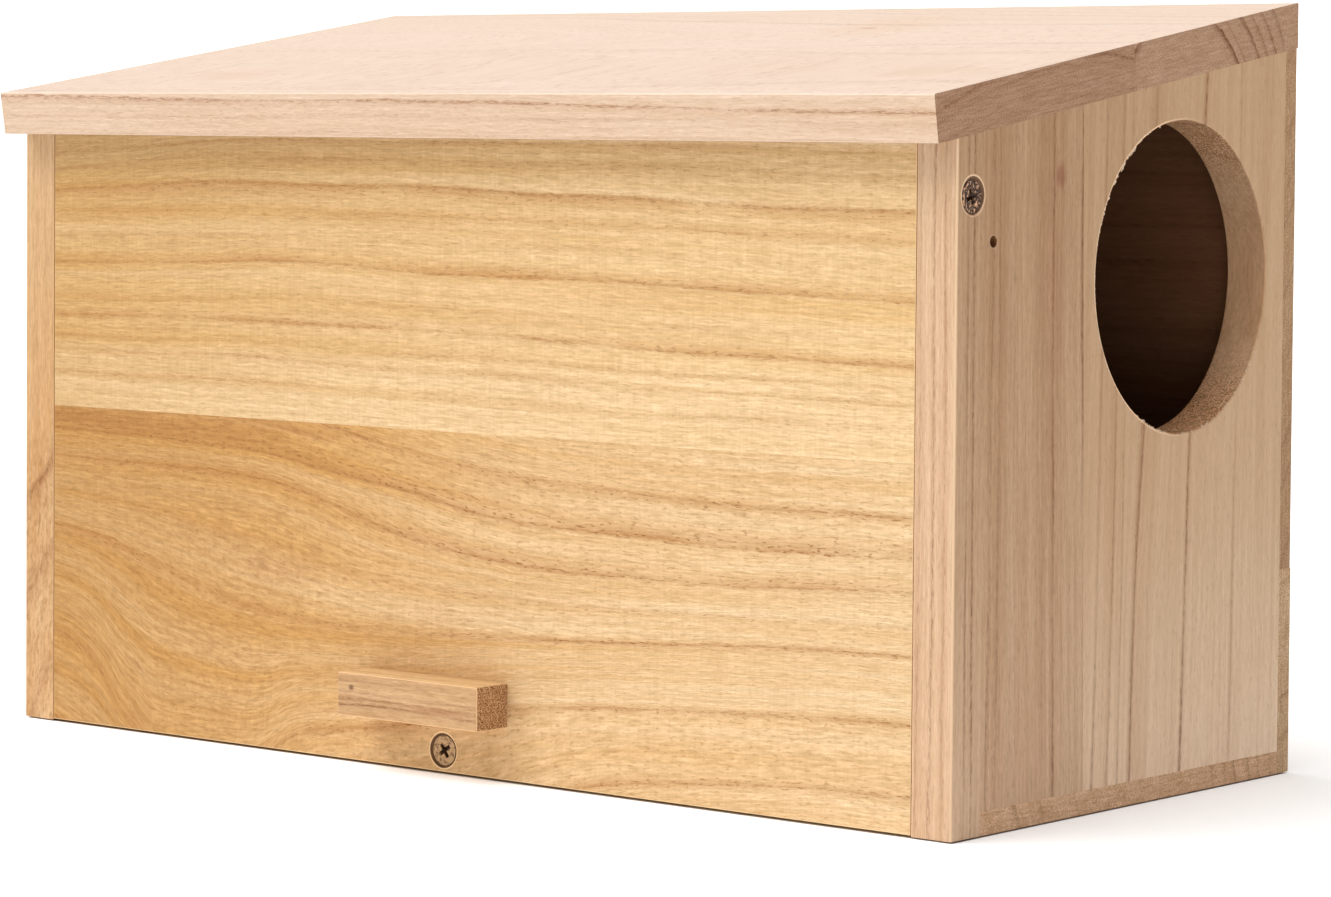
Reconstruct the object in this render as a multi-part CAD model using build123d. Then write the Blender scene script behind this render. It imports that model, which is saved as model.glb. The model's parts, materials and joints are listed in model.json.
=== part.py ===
from build123d import *

import math
import os

# A wooden nest box: a lean-to carcass of edge-glued boards, an entrance hole in the right end,
# and a front door that swings up and outwards on two screws driven through the ends.
# Millimetres. +X is the entrance end, +Y runs from the door to the back, +Z is up.
# The origin is the middle of the base, on the surface that the box stands on.

# ---- driving dimensions ----
box_width = 330.0
box_depth = 156.0
board = 12.0                # thickness of every board
front_height = 170.0        # ground to the roof's underside, above the door's face
roof_pitch = 9.0            # degrees, rising towards the back
roof_overhang = 8.0         # level distance from the door's face to the roof's lower front edge
lip = 6.0                   # thickness left on the rabbeted edges of the floor and the back

# glue seams between the boards that make up each panel
door_seam_z = 91.0
back_seam_z = 55.0
back_step = 0.4             # how far the upper back board stands in from the lower one
floor_seam_y = -18.0
roof_seam_y = 0.0
side_seam_bottom_y = -21.0
side_seam_top_y = -24.0

# openings
entrance_diameter = 81.0
entrance_y = 22.5
entrance_z = 134.5
pilot_diameter = 3.0
pilot_y = -62.8
pilot_z = 145.0

# door and its handle
door_end_gap = 0.15
door_ground_gap = 0.3
door_top_z = 169.1
pivot_inset = 6.5           # from the door's face to the pivot axis
pivot_z = 156.0
lock_x = -0.7
lock_z = 6.0
handle_length = 50.0
handle_height = 11.6
handle_depth = 12.0
handle_x = -3.2
handle_bottom_z = 14.3

# countersunk Phillips wood screws
screw_diameter = 4.0
screw_root_diameter = 2.7
screw_head_diameter = 8.0
screw_head_rim = 0.25
screw_tip = 4.5
thread_pitch = 1.8
pivot_screw_length = 30.0
pivot_thread_length = 17.0
lock_screw_length = 25.0
lock_thread_length = 15.0
countersink_diameter = 9.4
head_gap = 0.1              # radial, between a screw's head and its countersink
recess_diameter = 4.6
recess_floor_diameter = 1.4
recess_slot = 1.15
recess_depth = 1.9
pivot_clearance = 0.05      # radial, between a pivot screw's shank and the side panel
lock_clearance = 0.15       # radial, between the lock screw and the door
thread_clearance = 0.02     # radial, between a thread's crest and its wood
lock_socket_diameter = 5.6
lock_socket_depth = 15.0
right_pivot_turn = 20.0    # degrees that each head's cross is turned
left_pivot_turn = 65.0
lock_turn = 35.0

# brads
brad_diameter = 1.2
brad_head_diameter = 2.2
brad_head_thickness = 0.6
brad_tip = 2.0
brad_set = 0.5              # how far a head is punched below the surface
brad_clearance = 0.02
brad_length = 25.0
handle_brad_length = 20.0
handle_brad_spacing = 30.0
back_brads_x = (-100.0, 0.0, 100.0)
side_floor_brads_y = (-50.0, 5.0, 50.0)
side_back_brads_z = (25.0, 85.0, 175.0)

# softened edges
corner_round = 0.8
edge_round = 0.4
rim_round = 0.5
back_corner_round = 0.36

# modelling allowances
overrun = 1.0               # how far a cut runs past the face that it opens
tolerance = 0.05            # how near a place counts as the same place

# ---- worked-out places ----
half_width = box_width / 2
inner_x = half_width - board
mid_side_x = half_width - board / 2
front_y = -box_depth / 2
rear_y = box_depth / 2
door_rear_y = front_y + board
side_rear_y = rear_y - lip
back_front_y = rear_y - board
pivot_y = front_y + pivot_inset
slope = math.tan(math.radians(roof_pitch))
roof_rise = board / math.cos(math.radians(roof_pitch))
roof_front_y = front_y - roof_overhang
door_half_width = inner_x - door_end_gap
head_set = (countersink_diameter - screw_head_diameter) / 2 - screw_head_rim - head_gap
tall = 2 * front_height


def roof_underside(y):
    return front_height + (y - front_y) * slope


def block(x_span, y_span, z_span):
    """A box between two x, two y and two z places."""
    low, high = zip(x_span, y_span, z_span)
    size = [b - a for a, b in zip(low, high)]
    return Pos(*low) * Box(*size, align=Align.MIN)


def slab(outline, x_span):
    """A solid of one (y, z) outline, running along X."""
    face = make_face(Polyline(*outline, close=True))
    return Pos(x_span[0], 0, 0) * extrude(Plane.YZ * face, x_span[1] - x_span[0])


def below_roof(y_span):
    """Everything under the plane of the roof's underside, between two depths."""
    outline = [(y_span[0], -board), (y_span[1], -board)]
    outline += [(y, roof_underside(y)) for y in reversed(y_span)]
    return slab(outline, (-box_width, box_width))


def rod(radius, start, direction, length):
    """A round bar from a start point, along a direction."""
    return Plane(origin=start, z_dir=direction) * Cylinder(
        radius, length, align=(Align.CENTER, Align.CENTER, Align.MIN)
    )


def long_edges(solid, axis, test):
    """The solid's edges that run along an axis and whose middle passes a test."""
    return [e for e in solid.edges().filter_by(axis) if test(e.center())]


def near(value, target):
    return abs(value - target) < tolerance


# ---- fasteners ----
def screw_profile(length, thread_length):
    """Half section of a screw as (radius, height) points, with its thread as a row of ridges."""
    shank = screw_diameter / 2
    root = screw_root_diameter / 2
    head = screw_head_diameter / 2
    cone_end = screw_head_rim + head - shank
    points = [(0, 0), (head, 0), (head, -screw_head_rim), (shank, -cone_end)]
    depth = length - thread_length
    points.append((shank, -depth + (shank - root)))
    points.append((root, -depth))
    while depth + thread_pitch < length - screw_tip:
        points.append((shank, -depth - thread_pitch / 2))
        points.append((root, -depth - thread_pitch))
        depth += thread_pitch
    points.append((root, -length + screw_tip))
    points.append((0, -length))
    return points


def screw(length, thread_length):
    """A countersunk screw with its head's top at the origin and its tip down -Z."""
    outline = [(r, 0, z) for r, z in screw_profile(length, thread_length)]
    body = revolve(make_face(Polyline(*outline, close=True)), Axis.Z)
    arm = Box(recess_diameter, recess_slot, 2 * recess_depth)
    funnel = Pos(0, 0, -recess_depth / 2) * Cone(
        recess_floor_diameter / 2, recess_diameter / 2, recess_depth
    )
    return body - ((arm + Rot(0, 0, 90) * arm) & funnel)


def screw_hole(length, shank_clearance):
    """What a screw's countersink and straight hole take away, in the screw's own frame."""
    hole_radius = screw_diameter / 2 + shank_clearance
    mouth_radius = countersink_diameter / 2
    cone_depth = mouth_radius - hole_radius
    bore = Pos(0, 0, head_set - length / 2) * Cylinder(hole_radius, length + 2 * head_set)
    mouth = Pos(0, 0, head_set - cone_depth / 2) * Cone(hole_radius, mouth_radius, cone_depth)
    return bore + mouth


def brad(length, grow=0.0):
    """A headed brad with its head's top at the origin and its tip down -Z."""
    head = brad_head_diameter / 2 + grow
    shank = brad_diameter / 2 + grow
    outline = [
        (0, 0, 0),
        (head, 0, 0),
        (head, 0, -brad_head_thickness - grow),
        (shank, 0, -brad_head_thickness - grow),
        (shank, 0, brad_tip - length),
        (0, 0, -length - grow),
    ]
    return revolve(make_face(Polyline(*outline, close=True)), Axis.Z)


def brad_hole(length):
    """The hole that a brad leaves, up to the surface that it was driven from."""
    mouth = rod(brad_head_diameter / 2 + brad_clearance, (0, 0, 0), (0, 0, 1), brad_set + overrun)
    return brad(length, brad_clearance) + mouth


def driven(surface_point, outward):
    """The frame of a brad driven into a surface, its head punched below it."""
    frame = Plane(origin=surface_point, z_dir=outward)
    return frame.offset(-brad_set)


# ---- carcass ----
def side_seam_y(z):
    return side_seam_bottom_y + (side_seam_top_y - side_seam_bottom_y) * z / front_height


def seam_region(seam, low, high, rear):
    """The part of space in front of, or behind, a seam line between two heights."""
    far = rear_y + box_depth if rear else front_y - box_depth
    outline = [(far, low), (seam(low), low), (seam(high), high), (far, high)]
    return slab(outline, (-box_width, box_width))


def side_panel(x_span, pivot_frame):
    """One end of the box: its front edge stands on the ground, the rest on the floor's lip."""
    outline = [
        (front_y, 0),
        (door_rear_y, 0),
        (door_rear_y, lip),
        (side_rear_y, lip),
        (side_rear_y, roof_underside(side_rear_y)),
        (front_y, front_height),
    ]
    panel = slab(outline, x_span)
    outer_x = max(x_span, key=abs)
    corner = long_edges(panel, Axis.Z, lambda c: near(c.Y, front_y) and near(c.X, outer_x))
    panel = fillet(corner, corner_round)
    inner = long_edges(panel, Axis.Z, lambda c: near(c.Y, front_y) and abs(c.X) < half_width - overrun)
    panel = fillet(inner, edge_round)
    panel -= pivot_frame * screw_hole(pivot_screw_length, pivot_clearance)
    front = panel & seam_region(side_seam_y, -board, tall, rear=False)
    rear = panel & seam_region(side_seam_y, -board, tall, rear=True)
    return front, rear


def floor_panel():
    """Front and rear floor boards, with a lip under each side panel."""
    y_span = (door_rear_y, side_rear_y)
    lower = block((-half_width, half_width), y_span, (0, lip))
    upper = block((-inner_x, inner_x), y_span, (lip, board))
    panel = lower + upper
    front = panel & block((-box_width, box_width), (front_y, floor_seam_y), (-board, tall))
    rear = panel & block((-box_width, box_width), (floor_seam_y, rear_y), (-board, tall))
    mouth = (lock_x, door_rear_y - overrun, lock_z)
    socket = rod(lock_socket_diameter / 2, mouth, (0, 1, 0), lock_socket_depth + overrun)
    return front - socket, rear


def back_panel():
    """Lower and upper back boards, with a lip behind the side panels and the floor."""
    full_x = (-half_width, half_width)
    outer = block(full_x, (side_rear_y, rear_y), (0, tall))
    outer -= block(full_x, (rear_y - back_step, rear_y), (back_seam_z, tall))
    corners = long_edges(outer, Axis.Z, lambda c: c.Y > side_rear_y + overrun)
    outer = fillet(corners, back_corner_round)
    inner = block((-inner_x, inner_x), (back_front_y, side_rear_y), (board, tall))
    panel = (outer + inner) & below_roof((back_front_y, rear_y))
    lower = panel & block(full_x, (back_front_y, rear_y), (0, back_seam_z))
    upper = panel & block(full_x, (back_front_y, rear_y), (back_seam_z, tall))
    return lower, upper


def roof_panel():
    """Front and rear roof boards: a square front edge, and a plumb rear edge."""
    tilt = math.radians(roof_pitch)
    normal_y, normal_z = -math.sin(tilt), math.cos(tilt)
    front_z = roof_underside(roof_front_y)
    rear_z = roof_underside(rear_y)
    outline = [
        (roof_front_y, front_z),
        (rear_y, rear_z),
        (rear_y, rear_z + roof_rise),
        (roof_front_y + board * normal_y, front_z + board * normal_z),
    ]
    panel = slab(outline, (-half_width, half_width))
    exposed = long_edges(panel, Axis.X, lambda c: c.Y < front_y or c.Z > rear_z + overrun)
    panel = fillet(exposed, edge_round)
    seam_z = roof_underside(roof_seam_y)

    def seam(z):
        return roof_seam_y + (z - seam_z) * normal_y / normal_z

    front = panel & seam_region(seam, board, tall, rear=False)
    rear = panel & seam_region(seam, board, tall, rear=True)
    return front, rear


# ---- door ----
def door_panel(screw_frames):
    """Upper and lower door boards, drilled for the pivot screws and the lock screw."""
    panel = block((-door_half_width, door_half_width), (front_y, door_rear_y), (door_ground_gap, door_top_z))
    face_edges = [e for e in panel.edges() if near(e.center().Y, front_y)]
    panel = fillet(face_edges, edge_round)
    for frame in screw_frames["pivot"]:
        panel -= frame * screw_hole(pivot_screw_length + screw_head_rim, thread_clearance)
    panel -= screw_frames["lock"] * screw_hole(lock_screw_length, lock_clearance)
    wide = (-box_width, box_width)
    deep = (front_y - board, rear_y)
    lower = panel & block(wide, deep, (-board, door_seam_z))
    upper = panel & block(wide, deep, (door_seam_z, tall))
    return lower, upper


def door_handle():
    """A square-edged block on the door's face."""
    x_span = (handle_x - handle_length / 2, handle_x + handle_length / 2)
    z_span = (handle_bottom_z, handle_bottom_z + handle_height)
    handle = block(x_span, (front_y - handle_depth, front_y), z_span)
    free = [e for e in handle.edges() if e.center().Y < front_y - overrun]
    return fillet(free, edge_round)


# ---- where the fasteners go ----
def screw_frames():
    """Frames of the screw heads, each just below the bottom of its countersink's mouth."""
    head_x = half_width - head_set
    right = Plane(origin=(head_x, pivot_y, pivot_z), z_dir=(1, 0, 0))
    left = Plane(origin=(-head_x, pivot_y, pivot_z), z_dir=(-1, 0, 0))
    lock = Plane(origin=(lock_x, front_y + head_set, lock_z), z_dir=(0, -1, 0))
    return {"pivot": [right, left], "lock": lock}


def floor_brad_frames():
    """Up through the floor's lips into the side panels."""
    spots = [(side * mid_side_x, y) for side in (-1, 1) for y in side_floor_brads_y]
    return [driven((x, y, 0), (0, 0, -1)) for x, y in spots]


def back_brad_frames():
    """Forwards through the back's lips into the side panels and the floor."""
    spots = [(side * mid_side_x, z) for side in (-1, 1) for z in side_back_brads_z]
    spots += [(x, board / 2) for x in back_brads_x]
    frames = []
    for x, z in spots:
        surface_y = rear_y - (back_step if z > back_seam_z else 0)
        frames.append(driven((x, surface_y, z), (0, 1, 0)))
    return frames


def handle_brad_frames():
    """Forwards through the door into the handle."""
    z = handle_bottom_z + handle_height / 2
    xs = [handle_x + side * handle_brad_spacing / 2 for side in (-1, 1)]
    return [driven((x, door_rear_y, z), (0, 1, 0)) for x in xs]


def drill(boards, names, frames, length):
    """Cut a group of brad holes in the named boards."""
    for name in names:
        for frame in frames:
            boards[name] -= frame * brad_hole(length)


# ---- the whole box ----
def build():
    frames = screw_frames()
    parts = {}
    right_pivot, left_pivot = frames["pivot"]
    right_front, right_rear = side_panel((inner_x, half_width), right_pivot)
    left_front, left_rear = side_panel((-half_width, -inner_x), left_pivot)
    through = board + 2 * overrun
    entrance = rod(entrance_diameter / 2, (inner_x - overrun, entrance_y, entrance_z), (1, 0, 0), through)
    right_rear -= entrance
    rim = [
        e
        for e in right_rear.edges().filter_by(GeomType.CIRCLE)
        if near(e.radius, entrance_diameter / 2)
    ]
    parts["right_side_rear_board"] = fillet(rim, rim_round)
    pilot = rod(pilot_diameter / 2, (inner_x - overrun, pilot_y, pilot_z), (1, 0, 0), through)
    parts["right_side_front_board"] = right_front - pilot
    parts["left_side_front_board"] = left_front
    parts["left_side_rear_board"] = left_rear
    parts["floor_front_board"], parts["floor_rear_board"] = floor_panel()
    parts["back_lower_board"], parts["back_upper_board"] = back_panel()
    parts["roof_front_board"], parts["roof_rear_board"] = roof_panel()
    parts["door_lower_board"], parts["door_upper_board"] = door_panel(frames)
    parts["door_handle"] = door_handle()

    sides = [n for n in parts if "side" in n]
    floors = [n for n in parts if "floor" in n]
    backs = [n for n in parts if "back" in n]
    groups = {
        "floor_brads": (floor_brad_frames(), floors + sides, brad_length),
        "back_brads": (back_brad_frames(), backs + sides + floors, brad_length),
        "handle_brads": (handle_brad_frames(), ["door_lower_board", "door_handle"], handle_brad_length),
    }
    for name, (brad_frames, boards, length) in groups.items():
        drill(parts, boards, brad_frames, length)
        parts[name] = Compound([frame * brad(length) for frame in brad_frames])

    turns = {"pivot_screw_right": right_pivot_turn, "pivot_screw_left": left_pivot_turn}
    for (name, turn), frame in zip(turns.items(), frames["pivot"]):
        parts[name] = frame * Rot(0, 0, turn) * screw(pivot_screw_length, pivot_thread_length)
    locking = screw(lock_screw_length, lock_thread_length)
    parts["lock_screw"] = frames["lock"] * Rot(0, 0, lock_turn) * locking
    return parts


def main():
    os.makedirs("parts", exist_ok=True)
    for name, solid in build().items():
        export_step(solid, f"parts/{name}.step")
        size = solid.bounding_box().size
        print(f"{name}: {len(solid.solids())} solid, {size.X:.1f} x {size.Y:.1f} x {size.Z:.1f} mm")


main()
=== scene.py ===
"""Birdhouse: the looks of its boards and fasteners, and the studio around it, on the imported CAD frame."""

import json
import math
import random
from dataclasses import dataclass, field

import bpy
from mathutils import Matrix, Vector


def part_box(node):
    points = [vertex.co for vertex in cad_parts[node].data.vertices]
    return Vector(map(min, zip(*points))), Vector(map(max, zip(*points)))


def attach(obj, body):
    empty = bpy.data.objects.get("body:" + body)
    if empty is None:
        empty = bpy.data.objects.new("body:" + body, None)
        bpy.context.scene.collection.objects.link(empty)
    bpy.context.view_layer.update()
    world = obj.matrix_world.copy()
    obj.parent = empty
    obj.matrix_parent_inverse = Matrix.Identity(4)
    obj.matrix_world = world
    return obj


MM = 0.001
BUMP_STRENGTH = 0.5
FLOOR_DROP = 0.45 * MM      # the shadow line under boards that never lie quite flat

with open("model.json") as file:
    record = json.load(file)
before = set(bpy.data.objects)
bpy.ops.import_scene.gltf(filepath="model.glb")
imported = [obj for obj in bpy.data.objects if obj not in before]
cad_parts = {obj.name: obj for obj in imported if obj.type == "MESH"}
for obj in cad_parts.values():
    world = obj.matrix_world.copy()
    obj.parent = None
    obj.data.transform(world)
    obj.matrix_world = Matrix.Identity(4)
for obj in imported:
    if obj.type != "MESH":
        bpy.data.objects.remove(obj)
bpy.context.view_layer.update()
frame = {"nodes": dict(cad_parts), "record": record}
nodes = frame["nodes"]

# ---- places read from the frame, in metres ----
left_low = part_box("left_side_front_board")[0]
right_low, right_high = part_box("right_side_front_board")
roof_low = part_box("roof_front_board")[0]
handle_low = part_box("door_handle")[0]
back_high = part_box("back_lower_board")[1]
roof_pitch = math.radians(9.0)

# ---- camera, matched to the view of the box from its front right ----
CAMERA_PLACE = Vector((0.7653, -0.9192, 0.1721))
CAMERA_TURN = 39.393        # degrees to the left of straight ahead
CAMERA_DIP = 2.301          # degrees below level
CAMERA_ROLL = 0.453
CAMERA_SENSOR = 36          # mm
CAMERA_LENS = 116.09        # mm
CAMERA_SHIFT_Y = -0.1116


def srgb(red, green, blue):
    """A linear colour from 0 to 255 display values."""
    def linear(value):
        share = value / 255
        return share / 12.92 if share <= 0.04045 else ((share + 0.055) / 1.055) ** 2.4
    return (linear(red), linear(green), linear(blue), 1.0)


class Nodes:
    """Short calls for building a node tree. A value is a number, a tuple or another node's socket."""

    def __init__(self, tree):
        self.tree = tree

    def add(self, kind, **settings):
        node = self.tree.nodes.new(kind)
        for name, value in settings.items():
            setattr(node, name, value)
        return node

    def feed(self, socket, value):
        if isinstance(value, bpy.types.NodeSocket):
            self.tree.links.new(value, socket)
        else:
            socket.default_value = value

    def math(self, operation, first, second=0.0, third=0.0, clamp=False):
        node = self.add("ShaderNodeMath", operation=operation, use_clamp=clamp)
        for socket, value in zip(node.inputs, (first, second, third)):
            self.feed(socket, value)
        return node.outputs[0]

    def plus(self, first, second):
        return self.math("ADD", first, second)

    def minus(self, first, second):
        return self.math("SUBTRACT", first, second)

    def times(self, first, second):
        return self.math("MULTIPLY", first, second)

    def power(self, first, second):
        return self.math("POWER", first, second)

    def remap(self, value, low, high, to_low=0.0, to_high=1.0, shape="LINEAR"):
        node = self.add("ShaderNodeMapRange", interpolation_type=shape, clamp=True)
        for socket, setting in zip(node.inputs, (value, low, high, to_low, to_high)):
            self.feed(socket, setting)
        return node.outputs[0]

    def smooth(self, value, low, high, to_low=0.0, to_high=1.0):
        return self.remap(value, low, high, to_low, to_high, "SMOOTHSTEP")

    def vector(self, x, y, z):
        node = self.add("ShaderNodeCombineXYZ")
        for socket, value in zip(node.inputs, (x, y, z)):
            self.feed(socket, value)
        return node.outputs[0]

    def noise(self, vector, scale, detail, roughness=0.5):
        node = self.add("ShaderNodeTexNoise", noise_dimensions="3D")
        self.feed(node.inputs["Vector"], vector)
        node.inputs["Scale"].default_value = scale
        node.inputs["Detail"].default_value = detail
        node.inputs["Roughness"].default_value = roughness
        return node.outputs["Fac"]

    def curve(self, value, points, in_low, in_high, out_low, out_high):
        """A smooth curve through (in, out) points, held level beyond its ends."""
        node = self.add("ShaderNodeFloatCurve")
        line = node.mapping.curves[0]
        in_span = in_high - in_low
        out_span = out_high - out_low
        scaled = [((a - in_low) / in_span, (b - out_low) / out_span) for a, b in points]
        line.points[0].location = scaled[0]
        line.points[1].location = scaled[-1]
        for place in scaled[1:-1]:
            line.points.new(*place)
        for point in line.points:
            point.handle_type = "AUTO_CLAMPED"
        node.mapping.update()
        self.feed(node.inputs["Value"], self.remap(value, in_low, in_high))
        return self.math("MULTIPLY_ADD", node.outputs[0], out_span, out_low)

    def level_curve(self, value, points, low, high):
        """A curve whose points span the inputs, with outputs between low and high."""
        return self.curve(value, points, points[0][0], points[-1][0], low, high)

    def length(self, first, second):
        """The length of the diagonal of two distances at right angles."""
        return self.math("SQRT", self.plus(self.times(first, first), self.times(second, second)))

    def swing(self, value, depth, middle=1.0):
        """A 0 to 1 value turned into one that swings round a middle, by half the depth each way."""
        return self.math("MULTIPLY_ADD", value, depth, middle - depth / 2)

    def mix(self, share, first, second, blend="MIX"):
        node = self.add("ShaderNodeMix", data_type="RGBA", blend_type=blend, clamp_factor=True)
        self.feed(node.inputs[0], share)
        self.feed(node.inputs[6], first)
        self.feed(node.inputs[7], second)
        return node.outputs[2]

    def tint(self, colour, factor):
        """The colour times another colour."""
        return self.mix(1.0, colour, factor, "MULTIPLY")

    def shade(self, colour, factor):
        """The colour times a grey factor."""
        node = self.add("ShaderNodeVectorMath", operation="SCALE")
        self.feed(node.inputs[0], colour)
        self.feed(node.inputs["Scale"], factor)
        return node.outputs[0]

    def warm_shade(self, colour, factor):
        """The colour times a factor that takes more from its green and blue, as wood darkens to brown."""
        node = self.add("ShaderNodeVectorMath", operation="MULTIPLY")
        self.feed(node.inputs[0], colour)
        self.feed(node.inputs[1], self.vector(factor, self.power(factor, 1.3), self.power(factor, 1.8)))
        return node.outputs[0]

    def bumped(self, shader, height, distance):
        """Raises the shader's surface by a 0 to 1 height, over a distance in metres."""
        bump = self.add("ShaderNodeBump")
        bump.inputs["Strength"].default_value = BUMP_STRENGTH
        bump.inputs["Distance"].default_value = distance
        self.feed(bump.inputs["Height"], height)
        self.feed(shader.inputs["Normal"], bump.outputs[0])


# ---- wood ----
# painted shade inside a bore's mouth
BORE_PAINTED_SHADE = srgb(88, 54, 28)
# painted shade in the recesses of screw heads
RECESS_SHADE = srgb(80, 54, 36)


@dataclass
class Line:
    """One growth line on a board's face: (along, across) places in mm, and how it fades to each side."""
    points: list
    strength: float = 1.0
    above: float = 2.0
    below: float = 2.0
    core: float = 0.6           # strength of the thin dashed line at its middle


@dataclass
class Stain:
    """A soft oval patch of another tone."""
    along: float
    across: float
    length: float
    width: float
    strength: float
    colour: tuple


@dataclass
class Bore:
    """A hole in the board: its wall and the face inside its mouth get painted shade, and its rim is pale
    from torn fibres with a painted highlight.
    """
    along: float
    across: float
    radius: float
    rim: float                  # width of the pale rim: torn fibres with a painted highlight
    shadow: float = 0.9         # how dark the painted shade is on the face inside the radius
    # strength of the pale rim, torn fibres with a painted highlight
    pale: float = 0.6
    # tint of the painted shade on the wall
    wall: tuple = (0.40, 0.28, 0.20, 1.0)
    one_sided: bool = False     # pale rim of torn fibres and painted highlight only on the side towards the board's zero edge
    shaded_end: float = 0.0     # mm along the grain over which the wall's painted shade fades; 0 for all round
    painted_wall_light: list = None     # (along, how light the wall is there) as painted light and shade


@dataclass
class Board:
    """How one board was cut, in board millimetres: along the grain, across it, and into the wood."""
    axes: str                   # object axes that run along, across and into the board
    anchor: Vector              # the place in the model's frame where all three are zero
    lines: list
    pale: tuple
    warm: tuple
    dark: tuple
    into_sign: int = 1
    pitch: float = 0.0
    lean: float = 0.4           # how far the growth lines move across, for each mm into the wood
    lean_drift: float = 0.0     # change of lean for each mm along
    pith: tuple = None          # (across, into) of the log's middle, which the lines are then measured from
    thickness: float = 12.0
    warmth_across: list = field(default_factory=lambda: [(0, 0.4), (200, 0.4)])
    warmth_along: list = field(default_factory=lambda: [(0, 0.0), (400, 0.0)])
    # (along, factor) of painted light and shade on the broad faces
    painted_light_along: list = field(default_factory=lambda: [(0, 1.0), (400, 1.0)])
    mottle_along: list = field(default_factory=lambda: [(0, 0.15), (400, 0.15)])
    stains: list = field(default_factory=list)
    bores: list = field(default_factory=list)
    end_tone: tuple = (0.74, 0.62, 0.53, 1.0)
    end_speckle: float = 0.4
    face_tone: float = 1.0      # how strongly the growth lines show on the broad faces
    face_grain: float = 1.0     # how strongly the fine grain shows on the broad faces
    # painted shade on the inner faces of the box
    inner_shade: tuple = (0.27, 0.17, 0.12, 1.0)
    streak: float = 0.42
    fibre: float = 0.62
    figure: float = 0.40        # depth of the soft bands beside the growth lines
    banding: float = 2.0        # how much the tone swings from band to band
    edge_tone: tuple = (1.0, 1.0, 1.0, 1.0)
    chatter: float = 0.0        # planer marks across the grain
    wobble: float = 0.6
    pores: float = 0.5
    # painted highlight on rounded edges, from 0 to 1
    edge_highlight: float = 0.6
    seed: float = 0.0


def board_coordinates(g, board):
    """Sockets for the mm along the grain, across it and into the wood."""
    place = g.add("ShaderNodeTexCoord").outputs["Object"]
    turn = Matrix.Rotation(-board.pitch, 3, "X")
    mapping = g.add("ShaderNodeMapping", vector_type="POINT")
    mapping.inputs["Scale"].default_value = (1 / MM, 1 / MM, 1 / MM)
    mapping.inputs["Rotation"].default_value = (-board.pitch, 0, 0)
    mapping.inputs["Location"].default_value = -(turn @ board.anchor) / MM
    g.feed(mapping.inputs["Vector"], place)
    split = g.add("ShaderNodeSeparateXYZ")
    g.feed(split.inputs[0], mapping.outputs[0])
    by_axis = dict(zip("xyz", split.outputs))
    along, across, into = (by_axis[axis] for axis in board.axes)
    if board.into_sign < 0:
        into = g.times(into, -1)
    return along, across, into


def board_facing(g, board):
    """How squarely the surface faces along the grain and out of the board, from 0 to 1."""
    mapped = g.add("ShaderNodeMapping", vector_type="NORMAL")
    mapped.inputs["Rotation"].default_value = (-board.pitch, 0, 0)
    g.feed(mapped.inputs["Vector"], g.add("ShaderNodeTexCoord").outputs["Normal"])
    facing = g.add("ShaderNodeSeparateXYZ")
    g.feed(facing.inputs[0], mapped.outputs[0])
    normal = dict(zip("xyz", facing.outputs))
    return g.math("ABSOLUTE", normal[board.axes[0]]), g.math("ABSOLUTE", normal[board.axes[2]])


def growth_coordinate(g, along, across, lines):
    """Millimetres across the grain, bent so that each growth line lies at one constant value."""
    points = [point for line in lines for point in line.points]
    reach_low = min(point[0] for point in points)
    reach_high = max(point[0] for point in points)
    low = min(point[1] for point in points) - 1
    high = max(point[1] for point in points) + 1
    places = [g.curve(along, line.points, reach_low, reach_high, low, high) for line in lines]
    middles = [sum(point[1] for point in line.points) / len(line.points) for line in lines]
    grown = g.plus(g.math("MINIMUM", g.minus(across, places[0]), 0), middles[0])
    grown = g.plus(grown, g.math("MAXIMUM", g.minus(across, places[-1]), 0))
    for i in range(len(lines) - 1):
        grown = g.plus(grown, g.remap(across, places[i], places[i + 1], 0, middles[i + 1] - middles[i]))
    return grown, middles


CORE_WIDTH = 0.65           # half width of the thin dark core of a growth line, in mm
CORE_SHADE = 0.74           # the core's tone, as a share of the board's dark tone
FIGURE_MOST, CORE_MOST = 0.7, 0.85      # how far a growth line may hide the tone under it
GLINT, MOTTLE = 0.08, -0.22             # how much lighter glints are, and mottled spots darker
CHATTER_RATE, CHATTER_LENGTH = 1.1, 12  # planer marks: how many in a mm along, and mm across
SPECKLE = 2.3               # specks of end grain in a mm
SAW_LONG, SAW_SHORT = 0.14, 1.5         # saw marks on end grain in a mm, across and into the board
END_BRIGHT = 1.12           # the lightest specks of end grain
TORN_RIM_HIGHLIGHT_TONE, EDGE_HIGHLIGHT_TONE = 1.35, 1.28       # the pale rim of torn fibres with a painted highlight, and the painted highlight on rounded edges, as shares of the pale tone
BORE_END_TONE = 1.32        # a bore's wall where it cuts end grain
WOOD_ROUGH, WOOD_SHINE = 0.58, 0.28
WOOD_RELIEF = 0.14 * MM
STEEL_RELIEF = 0.05 * MM
STEEL_METALLIC = 0.35       # dulled by its coating
FACE_LOW, FACE_HIGH = 0.5, 0.95     # how squarely a surface faces outwards to count as a broad face
END_LOW, END_HIGH = 0.35, 0.9       # and along the grain to count as end grain

# length along the grain and width across it of each kind of mark, in mm
DRIFT_SIZE = (70, 22)
RAGGED_SIZE = (7, 1.6)
DASH_SIZE = (2.6, 0.5)
PRESENCE_SIZE = (48, 6.0)
BROAD_BAND_SIZE = (260, 9)
FINE_BAND_SIZE = (190, 2.6)
STREAK_SIZE = (60, 1.5)
FIBRE_SIZE = (7, 0.6)
PORE_SIZE = (2.6, 0.45)
GLINT_SIZE = (4.0, 0.6)
MOTTLE_SIZE = (3.2, 1.1)


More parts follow.
